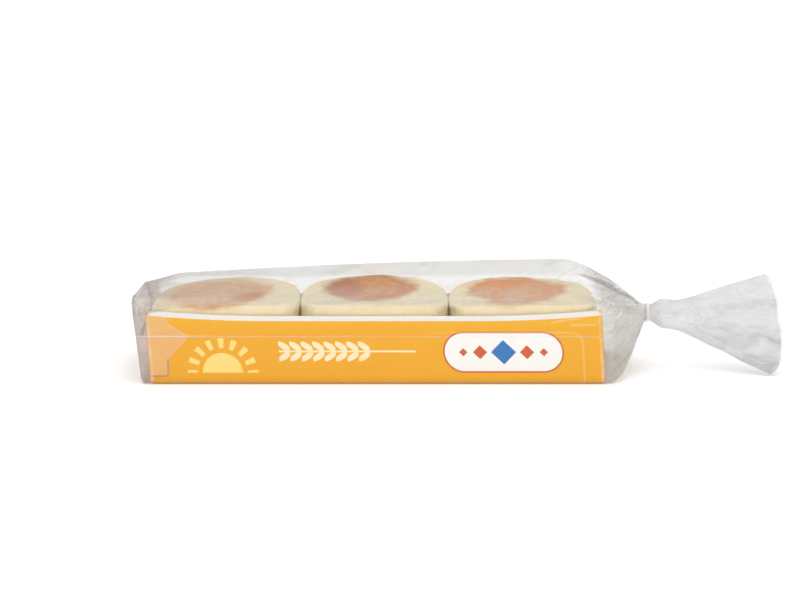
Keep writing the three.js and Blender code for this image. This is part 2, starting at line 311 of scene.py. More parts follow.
def pick(piece, kind, test):
    """Opens edit mode with just the vertices, edges or faces selected that pass the test.

    The test gets a vertex's place and normal, an edge's two ends, or a face's middle and normal.
    """
    only(piece)
    bpy.ops.object.mode_set(mode="EDIT")
    bpy.ops.mesh.select_mode(type=kind)
    bpy.ops.mesh.select_all(action="DESELECT")
    bpy.ops.object.mode_set(mode="OBJECT")
    mesh = piece.data
    if kind == "VERT":
        for vertex in mesh.vertices:
            vertex.select = test(vertex.co, vertex.normal)
    elif kind == "EDGE":
        for edge in mesh.edges:
            start, end = (mesh.vertices[index].co for index in edge.vertices)
            edge.select = test(start, end)
    else:
        for face in mesh.polygons:
            face.select = test(face.center, face.normal)
    bpy.ops.object.mode_set(mode="EDIT")


def leave_edit():
    bpy.ops.object.mode_set(mode="OBJECT")


def finish_with(piece, kind, **settings):
    """Adds a modifier and applies it."""
    only(piece)
    modifier = piece.modifiers.new(kind.lower(), kind)
    for key, value in settings.items():
        setattr(modifier, key, value)
    bpy.ops.object.modifier_apply(modifier=modifier.name)


def uneven(piece, grain, height):
    """Moves the surface in and out by soft lumps that are about `grain` across."""
    texture = bpy.data.textures.new(piece.name + "_relief", "CLOUDS")
    texture.noise_scale = grain
    finish_with(piece, "DISPLACE", texture=texture, texture_coords="LOCAL", strength=height, mid_level=0.5)
    bpy.data.textures.remove(texture)


def points_of(piece):
    places = np.empty(len(piece.data.vertices) * 3)
    piece.data.vertices.foreach_get("co", places)
    return places.reshape(-1, 3)


def normals_of(piece):
    normals = np.empty(len(piece.data.vertices) * 3)
    piece.data.vertices.foreach_get("normal", normals)
    return normals.reshape(-1, 3)


def place_points(piece, places):
    piece.data.vertices.foreach_set("co", places.ravel())
    piece.data.update()


def hand_over(piece, slot, *materials):
    """Gives a finished piece its materials and puts it on the object's one body; the slot is not used."""
    piece.data.materials.clear()
    for material in materials:
        piece.data.materials.append(material)
    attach(piece, "root")


def ease(value, start, end):
    """0 up to start, 1 from end on, and a smooth change between."""
    share = np.clip((value - start) / (end - start), 0, 1)
    return share * share * (3 - 2 * share)


# Shader nodes


class Wires:
    """Adds nodes to one tree and hands back what they put out."""

    def __init__(self, tree):
        self.tree = tree

    def feed(self, socket, value):
        if isinstance(value, bpy.types.NodeSocket):
            self.tree.links.new(value, socket)
        else:
            socket.default_value = value

    def node(self, kind, **settings):
        made = self.tree.nodes.new(kind)
        for key, value in settings.items():
            setattr(made, key, value)
        return made

    def fill(self, made, **inputs):
        """Feeds a node's inputs by name, with underscores for spaces."""
        for key, value in inputs.items():
            self.feed(made.inputs[key.replace("_", " ")], value)
        return made.outputs

    def add(self, kind, **inputs):
        """A new node, with its inputs fed by name."""
        return self.fill(self.node(kind), **inputs)

    def in_turn(self, made, *values):
        """Feeds a node's inputs in their order."""
        for socket, value in zip(made.inputs, values):
            self.feed(socket, value)
        return made.outputs[0]

    def math(self, operation, *values):
        return self.in_turn(self.node("ShaderNodeMath", operation=operation), *values)

    def times(self, value, *factors):
        for factor in factors:
            value = self.math("MULTIPLY", value, factor)
        return value

    def plus(self, first, second):
        return self.math("ADD", first, second)

    def minus(self, value, taken):
        return self.math("SUBTRACT", value, taken)

    def over(self, value, divisor):
        return self.math("DIVIDE", value, divisor)

    def larger(self, first, second):
        return self.math("MAXIMUM", first, second)

    def smaller(self, first, second):
        return self.math("MINIMUM", first, second)

    def unsigned(self, value):
        return self.math("ABSOLUTE", value)

    def add_share(self, base, share, value):
        """The base and a share of the value."""
        return self.math("MULTIPLY_ADD", value, share, base)

    def distance(self, across, above):
        return self.math("SQRT", self.plus(self.times(across, across), self.times(above, above)))

    def vector(self, operation, *values):
        return self.in_turn(self.node("ShaderNodeVectorMath", operation=operation), *values)

    def length(self, vector):
        made = self.node("ShaderNodeVectorMath", operation="LENGTH")
        return self.fill(made, Vector=vector)["Value"]

    def in_millimetres(self, place):
        made = self.node("ShaderNodeVectorMath", operation="SCALE")
        return self.fill(made, Vector=place, Scale=1 / MM)["Vector"]

    def object_place(self):
        """The place on the piece, in millimetres."""
        return self.in_millimetres(self.node("ShaderNodeTexCoord").outputs["Object"])

    def ease(self, value, start, end, low=0.0, high=1.0):
        """Low up to start, high from end on, and a smooth change between."""
        made = self.node("ShaderNodeMapRange", interpolation_type="SMOOTHSTEP")
        return self.in_turn(made, value, start, end, low, high)

    def line(self, distance, sharp, faded, strength=1.0):
        """The strength on a line, and nothing from the distance where it has faded out."""
        return self.ease(self.unsigned(distance), sharp, faded, strength, 0.0)

    def split(self, vector):
        return self.add("ShaderNodeSeparateXYZ", Vector=vector)

    def join(self, x, y, z):
        return self.in_turn(self.node("ShaderNodeCombineXYZ"), x, y, z)

    def attribute(self, name):
        return self.node("ShaderNodeAttribute", attribute_name=name).outputs["Fac"]

    def noise(self, vector, scale, detail=3.0, roughness=0.55, distortion=0.0):
        return self.add("ShaderNodeTexNoise", Vector=vector, Scale=scale, Detail=detail, Roughness=roughness,
                        Distortion=distortion)["Fac"]

    def cells(self, vector, scale):
        return self.add("ShaderNodeTexVoronoi", Vector=vector, Scale=scale)["Distance"]

    def blend(self, share, first, second):
        made = self.node("ShaderNodeMix", data_type="RGBA")
        self.feed(made.inputs[0], share)
        colours = [socket for socket in made.inputs if socket.type == "RGBA"]
        self.feed(colours[0], first)
        self.feed(colours[1], second)
        return next(socket for socket in made.outputs if socket.type == "RGBA")

    def bump(self, height, distance, strength):
        return self.add("ShaderNodeBump", Strength=strength, Distance=distance, Height=height)["Normal"]

    def group(self, tree, **inputs):
        return self.fill(self.node("ShaderNodeGroup", node_tree=tree), **inputs)

    def mix_shaders(self, share, first, second):
        return self.in_turn(self.node("ShaderNodeMixShader"), share, first, second)

    def show(self, shader):
        self.add("ShaderNodeOutputMaterial", Surface=shader)

    def show_principled(self, **inputs):
        self.show(self.add("ShaderNodeBsdfPrincipled", **inputs)["BSDF"])


def new_material(name):
    material = bpy.data.materials.new(name)
    material.use_nodes = True
    material.node_tree.nodes.clear()
    return material, Wires(material.node_tree)


def new_group(name, inputs, outputs):
    """A shader node group with named sockets: its tree, its wires, what it is given and what it puts out."""
    tree = bpy.data.node_groups.new(name, "ShaderNodeTree")
    for label, kind in inputs.items():
        tree.interface.new_socket(label, in_out="INPUT", socket_type=kind)
    for label in outputs:
        tree.interface.new_socket(label, in_out="OUTPUT", socket_type="NodeSocketFloat")
    wires = Wires(tree)
    given = wires.node("NodeGroupInput").outputs
    result = wires.node("NodeGroupOutput").inputs
    return tree, wires, given, result


def radiating_folds_group():
    """Folds that run out from the neck in all directions: their height, their ridges and sharp creases."""
    tree, wires, given, result = new_group(
        "radiating_folds",
        {"Place": "NodeSocketVector", "Folds": "NodeSocketFloat", "Drift": "NodeSocketFloat"},
        ("Height", "Ridges", "Creases"),
    )
    from_neck = wires.vector("SUBTRACT", given["Place"], tuple(NECK / MM))
    direction = wires.vector("NORMALIZE", from_neck)
    distance = wires.length(from_neck)
    drift = wires.times(distance, given["Drift"])
    along = wires.vector("ADD", direction, wires.join(drift, 0.0, drift))
    broad = wires.noise(along, given["Folds"], 2.0, 0.5)
    fine = wires.noise(along, wires.times(given["Folds"], 2.7), 2.0, 0.6)
    wires.feed(result["Height"], wires.add_share(broad, 0.5, fine))
    wires.feed(result["Ridges"], wires.line(wires.minus(fine, 0.5), 0.0, 0.06))
    wander = wires.times(distance, 0.016)
    short = wires.noise(wires.vector("ADD", direction, wires.join(wander, 0.0, wander)), 8.0, 1.5, 0.5, 1.4)
    wires.feed(result["Creases"], wires.line(wires.minus(short, 0.5), 0.005, 0.045))
    return tree


def speckle_group():
    """Small scattered spots of one size, some missing: 1 on a spot and 0 between."""
    tree, wires, given, result = new_group(
        "speckle",
        {"Place": "NodeSocketVector", "Per mm": "NodeSocketFloat", "Size": "NodeSocketFloat",
         "Cover": "NodeSocketFloat"},
        ("Spots",),
    )
    distance = wires.cells(given["Place"], given["Per mm"])
    spot = wires.ease(distance, wires.times(given["Size"], 0.6), given["Size"], 1.0, 0.0)
    patchy = wires.noise(given["Place"], wires.times(given["Per mm"], 0.45), 1.0, 0.5)
    bare = wires.minus(1.0, given["Cover"])
    here = wires.ease(patchy, bare, wires.plus(bare, 0.08))
    wires.feed(result["Spots"], wires.times(spot, here))
    return tree


RADIATING_FOLDS = radiating_folds_group()
SPECKLE = speckle_group()


# Materials


class FilmMarks(Wires):
    """The marks on the film, 0 to 1, worked out from the place on the pack in millimetres."""

    def __init__(self, tree):
        super().__init__(tree)
        self.place = self.object_place()
        self.x, self.y, self.z = self.split(self.place)
        self.folds = self.group(RADIATING_FOLDS, Place=self.place, Folds=7.0, Drift=0.004)
        self.high = self.ease(self.z, *TOP_Z)
        self.gathered = self.end_zone(GATHERED_X, GATHERED_TOP_X)
        self.sealed = self.end_zone(SEALED_X, SEALED_TOP_X)
        self.loose = self.larger(self.gathered, self.sealed)
        self.on_top = self.times(self.ease(self.z, *VEIL_Z), self.minus(1.0, self.loose))
        neck = NECK.x / MM
        self.before_neck = self.ease(self.x, neck + TAIL_FROM_NECK, neck)
        self.tail = self.minus(1.0, self.before_neck)
        end = BAG_LOW.x / MM
        self.fin = self.ease(self.x, end + SEAL_FIN[0], end + SEAL_FIN[1])
        self.turned = self.attribute("turned_down")

    def end_zone(self, side_limits, top_limits):
        """One end of the pack, whose limits lie elsewhere on the top than on the sides."""
        limits = [self.add_share(side, top - side, self.high) for side, top in zip(side_limits, top_limits)]
        return self.ease(self.x, *limits)

    def patches(self, per_mm, detail, start, end, low=0.0, high=1.0):
        """Soft patches, low between them and high on them."""
        return self.ease(self.noise(self.place, per_mm, detail), start, end, low, high)

    def gusset(self):
        """The fold along both sides and the doubled corner at the sealed end: lines, corner, and painted
        shadows in the narrow folds.
        """
        waver = self.times(self.minus(self.noise(self.place, 0.02, 1.0), 0.5), 1.6)
        above_crease = self.minus(self.plus(self.z, waver), FILM_CREASE_Z / MM)
        side = self.times(self.ease(self.unsigned(self.y), *SIDE_Y), self.ease(self.z, *SIDE_UP_TO_Z))
        crease = self.times(
            self.line(above_crease, *CREASE_LINE), self.ease(self.x, *CREASE_UP_TO_X),
            self.ease(self.x, *CREASE_FAINT_X, 1.0, 0.45))

        reach = self.minus(GUSSET_TIP_X / MM, self.x)
        slope = self.ease(above_crease, -0.2, 0.2, GUSSET_SLOPE_DOWN, GUSSET_SLOPE_UP)
        into_tip = self.minus(self.times(reach, slope), self.unsigned(above_crease))
        past_edge = self.minus(GUSSET_EDGE_X / MM, self.x)
        above_foot = self.minus(self.z, GUSSET_FOOT_Z / MM)
        into_corner = self.larger(into_tip, self.smaller(past_edge, above_foot))
        corner = self.times(self.ease(into_corner, -0.2, 0.6), side)
        corner_edge = self.times(self.line(into_corner, *CORNER_LINE), 0.4)
        broken = self.patches(0.09, 2.0, 0.3, 0.62, 0.3, 1.0)
        lines = self.times(self.larger(crease, corner_edge), broken, side)

        # painted shadows: dark lines along the doubled corner's upright edge and along its foot
        edge_fold_shadow = self.times(
            self.line(past_edge, *EDGE_FOLD_SHADOW_LINE), self.ease(self.z, *EDGE_FOLD_SHADOW_UP_TO_Z),
            self.ease(above_foot, -0.3, 0.6))
        foot_fold_shadow = self.times(
            self.line(above_foot, *CORNER_LINE), self.ease(past_edge, -0.4, 0.4),
            self.ease(self.x, *FOOT_FOLD_SHADOW_X))
        return lines, corner, self.times(self.larger(edge_fold_shadow, foot_fold_shadow), side)

    def veil(self):
        """A veil on the top and the painted shade of its streaks, both drawn out along the drag folds."""
        mapping = self.node("ShaderNodeMapping", vector_type="TEXTURE")
        grain = (DRAG_LENGTH / MM, STREAK_PITCH / MM, STREAK_HEIGHT / MM)
        turn = (0.0, 0.0, DRAG_TURN)
        drawn_out = self.fill(mapping, Vector=self.place, Rotation=turn, Scale=grain)["Vector"]
        streaks = self.ease(self.noise(drawn_out, 1.0, 1.5, 0.5, 0.3), 0.4, 0.7)
        veil = self.times(self.add_share(0.5, 0.5, streaks), self.ease(self.y, *VEIL_FRONT_Y, 0.08, 0.36))
        veil = self.larger(veil, self.ease(self.x, *VEIL_LEFT_X, 0.0, 0.18))
        shaded = self.noise(self.vector("ADD", drawn_out, (3.0, 8.0, 0.0)), 0.9, 0.5, 0.4, 0.3)
        shaded = self.line(self.minus(shaded, 0.5), 0.0, 0.06, 0.7)
        shaded = self.times(shaded, self.patches(0.03, 1.0, 0.4, 0.6))
        return self.times(veil, self.on_top), self.times(shaded, self.on_top)

    def whitening_and_glints(self):
        """Sharp creases on the gathered end, whitened by the film and by painted highlights that grow higher
        up, and soft painted glints on the tail.
        """
        creases = self.times(
            self.folds["Creases"], self.patches(0.07, 1.0, 0.4, 0.58),
            self.ease(self.z, *CREASE_HIGHLIGHT_Z, 0.3, 1.3), self.times(self.gathered, self.before_neck))
        stretched = self.vector("MULTIPLY", self.place, (0.45, 1.0, 1.0))
        glints = self.ease(self.noise(stretched, 0.06, 0.5, 0.4, 0.6), 0.51, 0.76)
        return self.larger(creases, self.times(glints, self.tail))

    def relief(self, lines):
        """Soft ripples all over, finer wrinkles where the film is loose, and the ribs of the heat seal."""
        wrinkle = self.noise(self.place, 0.07, 0.6, 0.4, 0.6)
        crinkle = self.noise(self.place, 0.24, 2.0, 0.55, 1.0)
        crinkle = self.times(crinkle, self.ease(self.x, *CRINKLED_UP_TO_X))
        rib = self.math("SINE", self.times(self.x, 2 * math.pi / SEAL_RIB_PITCH))
        raised = {
            "folds": self.times(self.folds["Height"], self.gathered),
            "wrinkles": self.times(wrinkle, self.loose),
            "crinkles": self.times(crinkle, self.loose),
            "lines": lines,
            "ribs": self.times(rib, self.fin),
        }
        height = self.times(self.noise(self.place, 0.045, 2.0, 0.5, 0.6), FILM_RIPPLE)
        for mark, share in FILM_RELIEF.items():
            height = self.add_share(height, share, raised[mark])
        return self.bump(height, FILM_BUMP, 0.9)

    def dulled(self, veil, lines, corner, whitening_and_glints):
        """How milky the film is, with its painted highlights and glints drawn in as milky white."""
        marks = {
            "loose": self.loose, "ridges": self.times(self.folds["Ridges"], self.gathered), "lines": lines,
            "corner": corner, "turned": self.turned, "fin": self.fin, "whitening_and_glints": whitening_and_glints}
        milky = self.plus(veil, FILM_DULLED_EVERYWHERE)
        for mark, share in FILM_DULLED.items():
            milky = self.add_share(milky, share, marks[mark])
        return milky

    def mirrored(self, normal):
        """How much the film mirrors: flat on the card at one face only, and elsewhere at both."""
        facing = self.add("ShaderNodeLayerWeight", Blend=0.5, Normal=normal)["Facing"]
        grazing = self.times(self.math("POWER", facing, 4.0), self.ease(self.gathered, 0.0, 1.0, 0.5, 0.12))
        return self.plus(grazing, self.ease(self.loose, 0.0, 1.0, 0.025, 0.1))

    def tint(self, painted_fold_shadows, streaks):
        """The colour that the film gives to what is behind it."""
        in_folds = self.larger(self.gathered, self.times(self.turned, 0.5))
        tint = self.blend(in_folds, FILM_CLEAR, FILM_GATHERED)
        # painted shade: the tail darker towards its bottom
        tail_tint = self.blend(self.ease(self.z, *TAIL_SHADE_Z), FILM_TAIL, FILM_TAIL_SHADE)
        tint = self.blend(self.tail, tint, tail_tint)
        # painted shadow in the narrow folds
        tint = self.blend(self.times(painted_fold_shadows, 0.7), tint, FILM_SHADOW)
        # painted shade along the drag folds
        tint = self.blend(streaks, tint, FILM_STREAK)
        return self.blend(self.sealed, tint, self.blend(self.high, FILM_SEALED, FILM_SEALED_TOP))

    def milky_colour(self, whitening_and_glints):
        """The colour of the film where it is milky, near white at its painted highlights."""
        colour = self.blend(self.on_top, FILM_MILKY, FILM_VEIL)
        colour = self.blend(self.sealed, colour, FILM_HAZE)
        colour = self.blend(self.gathered, colour, FILM_FOLDS)
        return self.blend(whitening_and_glints, colour, FILM_WHITENING_AND_GLINTS)


def film_material():
    """Clear bag film: it mirrors more the flatter it is looked at, and folds and seals turn it milky."""
    material, _ = new_material("clear_film")
    film = FilmMarks(material.node_tree)
    lines, corner, painted_fold_shadows = film.gusset()
    veil, streaks = film.veil()
    # painted highlights and glints on the creases and the tail
    whitening_and_glints = film.whitening_and_glints()
    normal = film.relief(lines)
    clear = film.add("ShaderNodeBsdfTransparent", Color=film.tint(painted_fold_shadows, streaks))
    dull = film.add("ShaderNodeBsdfDiffuse", Color=film.milky_colour(whitening_and_glints), Normal=normal)
    gloss = film.add("ShaderNodeBsdfGlossy", Color=WHITE, Roughness=FILM_GLOSS_ROUGHNESS, Normal=normal)
    see_through = film.mix_shaders(film.dulled(veil, lines, corner, whitening_and_glints), clear["BSDF"], dull["BSDF"])
    film.show(film.mix_shaders(film.mirrored(normal), see_through, gloss["BSDF"]))
    return material


class Print(Wires):
    """Flat shapes on a wall, worked out from the place along it and up it, in millimetres.

    The sunrise and the wheat ear are masks, and the other shapes give the distance from their outline,
    which is below zero inside.
    """

    SOFT_EDGE = 0.3

    def __init__(self, tree, along, up):
        super().__init__(tree)
        self.along = along
        self.up = up

    def inside(self, distance):
        """1 inside an outline and 0 outside it."""
        return self.ease(distance, -self.SOFT_EDGE / 2, self.SOFT_EDGE / 2, 1.0, 0.0)

    def offset(self, x, z):
        return self.minus(self.along, x), self.minus(self.up, z)

    def disc(self, x, z, radius):
        return self.minus(self.distance(*self.offset(x, z)), radius)

    def pill(self, x, z, half_width, half_height):
        """A bar with round ends."""
        across, above = self.offset(x, z)
        past = self.larger(self.minus(self.unsigned(across), half_width - half_height), 0.0)
        return self.minus(self.distance(past, above), half_height)

    def rounded_box(self, x, z, half_width, half_height, radius):
        across, above = self.offset(x, z)
        wide = self.minus(self.unsigned(across), half_width - radius)
        high = self.minus(self.unsigned(above), half_height - radius)
        past = self.distance(self.larger(wide, 0.0), self.larger(high, 0.0))
        within = self.smaller(self.larger(wide, high), 0.0)
        return self.minus(self.plus(past, within), radius)

    def diamond(self, x, z, half_size):
        across, above = self.offset(x, z)
        wide = self.over(self.unsigned(across), half_size)
        high = self.over(self.unsigned(above), half_size)
        return self.times(self.minus(self.plus(wide, high), 1.0), half_size)

    def stroke(self, start, end, half_width):
        """A straight line with round ends."""
        run, rise = end[0] - start[0], end[1] - start[1]
        across, above = self.offset(*start)
        share = self.over(self.plus(self.times(across, run), self.times(above, rise)), run ** 2 + rise ** 2)
        share = self.smaller(self.larger(share, 0.0), 1.0)
        off_x = self.minus(across, self.times(share, run))
        off_z = self.minus(above, self.times(share, rise))
        return self.minus(self.distance(off_x, off_z), half_width)

    def sunrise(self, x, z, radius):
        """A half disc on a level line, with a ring of rays round it."""
        across, above = self.offset(x, z)
        level = self.inside(self.times(above, -1.0))
        rays_at = self.math("COSINE", self.times(self.math("ARCTAN2", above, across), SUN_RAYS))
        ring = self.unsigned(self.disc(x, z, 1.5 * radius))
        rays = self.times(self.ease(rays_at, 0.1, 0.3), self.inside(self.minus(ring, 0.26 * radius)))
        return self.times(self.larger(self.inside(self.disc(x, z, radius)), rays), level)

    def wheat_ear(self, start, end, z, pitch, grain_length, grain_width, lean):
        """A stem with a pair of slanting grains at every step along it."""
        across, above = self.offset(start, z)
        step = self.minus(self.math("MODULO", across, pitch), pitch / 2)
        slant, rise = math.cos(lean), math.sin(lean)
        out = self.minus(self.unsigned(above), 0.62 * grain_length * rise)
        longways = self.minus(self.times(step, slant), self.times(out, rise))
        sideways = self.plus(self.times(out, slant), self.times(step, rise))
        long_share = self.over(longways, grain_length / 2)
        wide_share = self.over(sideways, grain_width / 2)
        past_edge = self.minus(self.distance(long_share, wide_share), 1.0)
        grain = self.inside(self.times(past_edge, grain_width / 2))
        grains_end = start + pitch * round(EAR_GRAINS_SHARE * (end - start) / pitch)
        begun = self.ease(self.along, start, start + 0.2)
        ended = self.ease(self.along, grains_end, grains_end + 0.2, 1.0, 0.0)
        within = self.times(begun, ended)
        stem = self.inside(self.pill((start + end) / 2, z, (end - start) / 2, EAR_STEM_HALF_WIDTH))
        return self.larger(self.times(grain, within), stem)

    def printed(self, colour):
        """The wall's colour with a sunrise, a wheat ear and a white pill with diamonds on it."""
        colour = self.blend(self.sunrise(**SUN), colour, SUN_YELLOW)
        colour = self.blend(self.wheat_ear(**WHEAT_EAR), colour, CREAM_INK)
        colour = self.blend(self.inside(self.pill(PILL_X, PILL_Z, *PILL_HALF_SIZES)), colour, RUST_INK)
        colour = self.blend(self.inside(self.pill(PILL_X, PILL_Z, *PILL_INNER_HALF_SIZES)), colour, WHITE_INK)
        colour = self.blend(self.inside(self.diamond(PILL_X, PILL_Z, DIAMOND_HALF_SIZE)), colour, BLUE_INK)
        for away in SMALL_DIAMONDS_AWAY:
            for towards in (-1, 1):
                small = self.diamond(PILL_X + towards * away, PILL_Z, SMALL_DIAMOND_SHRINK / away)
                colour = self.blend(self.inside(small), colour, RUST_INK)
        return colour


def card_material():
    """Coated tray card, printed orange with a white rim and a generic breakfast print on the long walls."""
    material, wires = new_material("printed_card")
    place = wires.object_place()
    wall = wires.node("ShaderNodeUVMap", uv_map="wall")
    along, up, _ = wires.split(wires.in_millimetres(wall.outputs[0]))
    below_rim = wires.times(wires.attribute("below_rim"), 1 / MM)
    shapes = Print(material.node_tree, along, up)

    colour = wires.blend(wires.noise(place, 0.02, 2.0, 0.5), ORANGE_DEEP, ORANGE)
    colour = wires.blend(wires.ease(up, *PALE_UP_Z, 0.0, 0.8), colour, ORANGE_PALE)
    colour = wires.blend(wires.ease(up, *DARK_FOOT_Z, 0.0, 0.7), colour, ORANGE_EDGE)
    colour = shapes.printed(colour)
    colour = wires.blend(wires.ease(below_rim, *WHITE_RIM, 1.0, 0.0), colour, RIM_WHITE)

    fibres = wires.noise(place, 0.9, 3.0, 0.6)
    flutes = wires.noise(place, 0.05, 2.0, 0.5)
    flap_edge = wires.times(
        wires.line(shapes.rounded_box(**TUCKED_FLAP), *FLAP_LINE), wires.ease(along, *FLAP_SHOWS_X))
    height = wires.add_share(wires.times(fibres, 0.12), 2.0, flutes)
    height = wires.add_share(height, 0.25, flap_edge)
    colour = wires.blend(wires.times(flap_edge, 0.3), colour, ORANGE_RUBBED_AND_HIGHLIT)

    # The upright folds at the tray's ends are drawn pale, partly rubbed card and partly a painted highlight,
    # and scuffed
    past_fold = wires.minus(wires.unsigned(along), TRAY_HALF_LENGTH / MM)
    worn_and_highlit = wires.times(
        wires.ease(past_fold, *RUBBED_AND_HIGHLIT_INSIDE_FOLD), wires.ease(past_fold, *RUBBED_AND_HIGHLIT_OUTSIDE_FOLD),
        wires.ease(wires.noise(place, 0.25, 2.0), 0.35, 0.65, 0.25, 0.8))
    colour = wires.blend(worn_and_highlit, colour, ORANGE_RUBBED_AND_HIGHLIT)
    scuffed = wires.times(worn_and_highlit, wires.ease(wires.noise(place, 0.3, 1.0), 0.58, 0.66, 0.0, 0.7))
    colour = wires.blend(scuffed, colour, RUST_INK)
    for start, end in CARD_DENTS:
        dent = wires.ease(shapes.stroke(start, end, 0.1), 0.0, 0.6, 0.55, 0.0)
        colour = wires.blend(dent, colour, ORANGE_RUBBED_AND_HIGHLIT)
    wires.show_principled(
        Base_Color=colour, Roughness=wires.ease(fibres, 0.2, 0.8, 0.38, 0.5), Specular_IOR_Level=0.2,
        Normal=wires.bump(height, 0.5 * MM, 0.5))
    return material


def bare_card_material():
    """The uncoated inside of the tray and its cut edges."""
    material, wires = new_material("bare_card")
    place = wires.object_place()
    fibres = wires.noise(place, 1.6, 4.0, 0.7)
    blotch = wires.noise(place, 0.06, 2.0, 0.5)
    colour = wires.blend(wires.times(fibres, 0.6), CARD_GREY, RIM_WHITE)
    colour = wires.blend(wires.times(blotch, 0.25), colour, CARD_WARM)
    wires.show_principled(Base_Color=colour, Roughness=0.85, Normal=wires.bump(fibres, 0.1 * MM, 0.5))
    return material


def muffin_material(name, centre, height, browned):
    """Griddled muffin: pale crumb round the sides, a browned patch top and bottom, and a dusting of meal."""
    material, wires = new_material(name)
    place = wires.vector("SUBTRACT", wires.object_place(), tuple(centre / MM))
    x, y, z = wires.split(place)
    mottle = wires.noise(place, 0.16, 4.0, 0.65)
    fine = wires.noise(place, 0.6, 4.0, 0.65)

    # The browned patch, its darker rim and its most scorched spot
    warp = wires.times(wires.minus(wires.noise(place, 0.055, 3.0, 0.6), 0.5), browned["ragged"])
    across = wires.over(wires.minus(x, browned["x"]), browned["half_width"])
    deep = wires.over(wires.minus(y, browned["y"]), browned["half_depth"])
    reach = wires.plus(wires.distance(across, deep), warp)
    level = wires.add_share(z, -browned["slope"], x)
    half = height / MM / 2
    flat = wires.ease(wires.unsigned(level), half - FLAT_TOP_DEPTHS[0], half - FLAT_TOP_DEPTHS[1])
    patch = wires.times(wires.ease(reach, 1.1, 0.78), flat)
    rim = wires.times(wires.ease(reach, 0.55, 0.9), wires.ease(reach, 1.05, 0.9), flat)
    spot_x, spot_y, spot_width, spot_depth = browned["scorch"]
    to_spot = wires.vector("SUBTRACT", place, (spot_x, spot_y, 0.0))
    to_spot = wires.vector("DIVIDE", to_spot, (spot_width, spot_depth, 1000.0))
    spot = wires.plus(wires.length(to_spot), warp)

    crumb = wires.blend(wires.ease(mottle, 0.3, 0.7), CRUMB_DEEP, CRUMB)
    crumb = wires.blend(wires.ease(fine, 0.45, 0.75, 0.0, 0.5), crumb, CRUMB_PALE)
    pale_top = wires.blend(wires.times(flat, 0.7), crumb, TOP_RING)
    toast = wires.blend(wires.ease(mottle, 0.3, 0.72), browned["deep"], browned["light"])
    toast = wires.blend(wires.ease(spot, 1.15, 0.5), toast, browned["scorched"])
    toast = wires.blend(wires.times(rim, browned["rim"]), toast, TOAST_RIM)
    colour = wires.blend(wires.times(patch, wires.ease(fine, 0.2, 0.6, 0.8, 1.0)), pale_top, toast)

    meal = wires.group(SPECKLE, Place=place, Per_mm=0.75, Size=0.42, Cover=0.45)["Spots"]
    colour = wires.blend(wires.times(meal, 0.28), colour, MEAL)
    # painted shade: the pores are pits drawn darker as well as dented
    shaded_pores = wires.group(SPECKLE, Place=place, Per_mm=0.32, Size=0.36, Cover=0.4)["Spots"]
    shaded_pores = wires.times(shaded_pores, wires.minus(1.0, wires.times(flat, 0.8)))
    colour = wires.blend(wires.times(shaded_pores, 0.2), colour, PORE_SHADE)

    relief = wires.add_share(wires.times(mottle, 0.8), 0.8, fine)
    relief = wires.add_share(relief, -0.6, shaded_pores)
    relief = wires.add_share(relief, 0.35, meal)
    wires.show_principled(
        Base_Color=colour, Roughness=wires.ease(patch, 0.0, 1.0, 0.8, 0.6), Subsurface_Weight=0.25,
        Subsurface_Radius=(1.0, 0.7, 0.4), Subsurface_Scale=5 * MM, Normal=wires.bump(relief, 0.5 * MM, 0.6))
    return material


def band_material():
    """Satin, half-clear white plastic with faint lines round the band."""
    material, wires = new_material("neck_band")
    place = wires.object_place()
    x, _, _ = wires.split(place)
    lines = wires.noise(wires.join(wires.times(x, 6.0), 0.0, 0.0), 1.0, 2.0)
    scuffs = wires.noise(place, 0.6, 3.0, 0.6)
    wires.show_principled(
        Base_Color=wires.blend(scuffs, BAND_DULL, BAND_BRIGHT), Alpha=0.4,
        Roughness=wires.ease(scuffs, 0.2, 0.8, 0.32, 0.5), Normal=wires.bump(lines, 0.15 * MM, 0.6))
    return material


def floor_material():
    material, wires = new_material("pale_floor")
    tone = wires.noise(wires.object_place(), 0.004, 2.0)
    wires.show_principled(
        Base_Color=wires.blend(tone, FLOOR_DULL, FLOOR_BRIGHT), Roughness=0.9, Emission_Color=WHITE,
        Emission_Strength=0.07)
    return material


# Pieces


def film_bag():
    """The film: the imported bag's skin, open at the mouth, smoothed, and pleated towards the neck."""
    film = bpy.data.objects.new("film_bag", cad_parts["bag"].data.copy())
    bpy.context.scene.collection.objects.link(film)
    only(film)
    bpy.ops.object.mode_set(mode="EDIT")
    bpy.ops.mesh.select_all(action="SELECT")
    bpy.ops.mesh.remove_doubles(threshold=TOUCHING)
    bpy.ops.mesh.tris_convert_to_quads()
    leave_edit()

    # The mouth's cover is a fan of faces round one point
    edges = np.empty(len(film.data.edges) * 2, int)
    film.data.edges.foreach_get("vertices", edges)
    spokes = np.bincount(edges)
    past_neck = points_of(film)[:, 0] > NECK.x
    hub = film.data.vertices[int(np.argmax(spokes * past_neck))].co.copy()
    pick(film, "VERT", lambda place, normal: (place - hub).length < TOUCHING)
    bpy.ops.mesh.delete(type="VERT")
    leave_edit()
    finish_with(film, "SUBSURF", levels=2, render_levels=2)
    soften_gather(film)

    places = points_of(film)
    lift = neck_folds(places) + crumple(places) + drag_folds(places) + end_folds(places)
    mark_turn(film)
    place_points(film, places + normals_of(film) * lift[:, None])
    bpy.ops.object.shade_smooth()
    hand_over(film, "film", film_material())
    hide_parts("bag")


